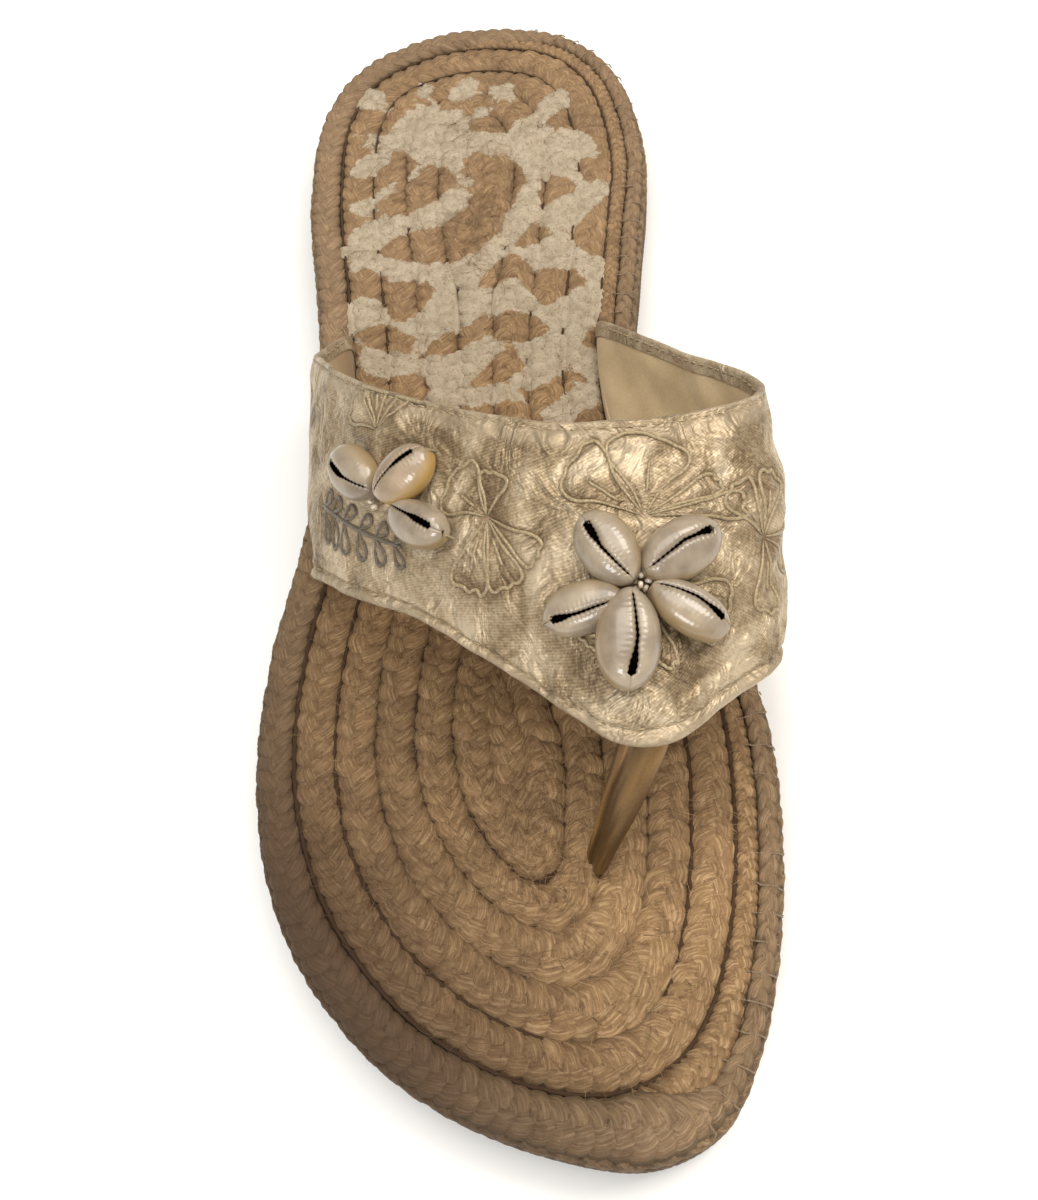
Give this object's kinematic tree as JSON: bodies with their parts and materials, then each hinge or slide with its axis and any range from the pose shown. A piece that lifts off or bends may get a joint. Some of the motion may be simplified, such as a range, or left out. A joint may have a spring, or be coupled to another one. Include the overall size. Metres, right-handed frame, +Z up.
{
  "type": "espadrille thong sandal",
  "caption": "Right-foot espadrille thong sandal: coiled jute footbed on a thin rubber outsole, wide satin strap, gold toe post, cowrie shell flowers.",
  "frame": {"origin": "middle of the sandal's footprint, on the ground plane under the flat heel and ball", "axes": "+Z up; the toe points to -Y and the heel to +Y; +X is the big-toe (medial) side, so this is a right shoe"},
  "size_m": [0.0986, 0.2538, 0.0607],
  "materials": {
    "rubber": "matte dark brown, fine grain",
    "dark_jute": "dark coarse jute cord, unglazed",
    "jute": "natural braided jute with loose fibres",
    "satin": "soft gold satin with tonal embroidery",
    "gold_leather": "metallic gold coated leather",
    "shell": "glossy natural cowrie shell",
    "bead": "glossy cream seed bead"
  },
  "bodies": {
    "root": {"outsole": "rubber", "midsole": "dark_jute", "footbed": "jute", "edge_braid": "jute", "strap": "satin", "toe_post": "gold_leather", "cowrie_centre_1": "shell", "cowrie_centre_2": "shell", "cowrie_centre_3": "shell", "cowrie_centre_4": "shell", "cowrie_centre_5": "shell", "cowrie_side_1": "shell", "cowrie_side_2": "shell", "cowrie_side_3": "shell", "bead_centre_1": "bead", "bead_centre_2": "bead", "bead_centre_3": "bead", "bead_centre_4": "bead", "bead_centre_5": "bead", "bead_centre_6": "bead", "bead_side_1": "bead", "bead_side_2": "bead"}
  },
  "joints": []
}
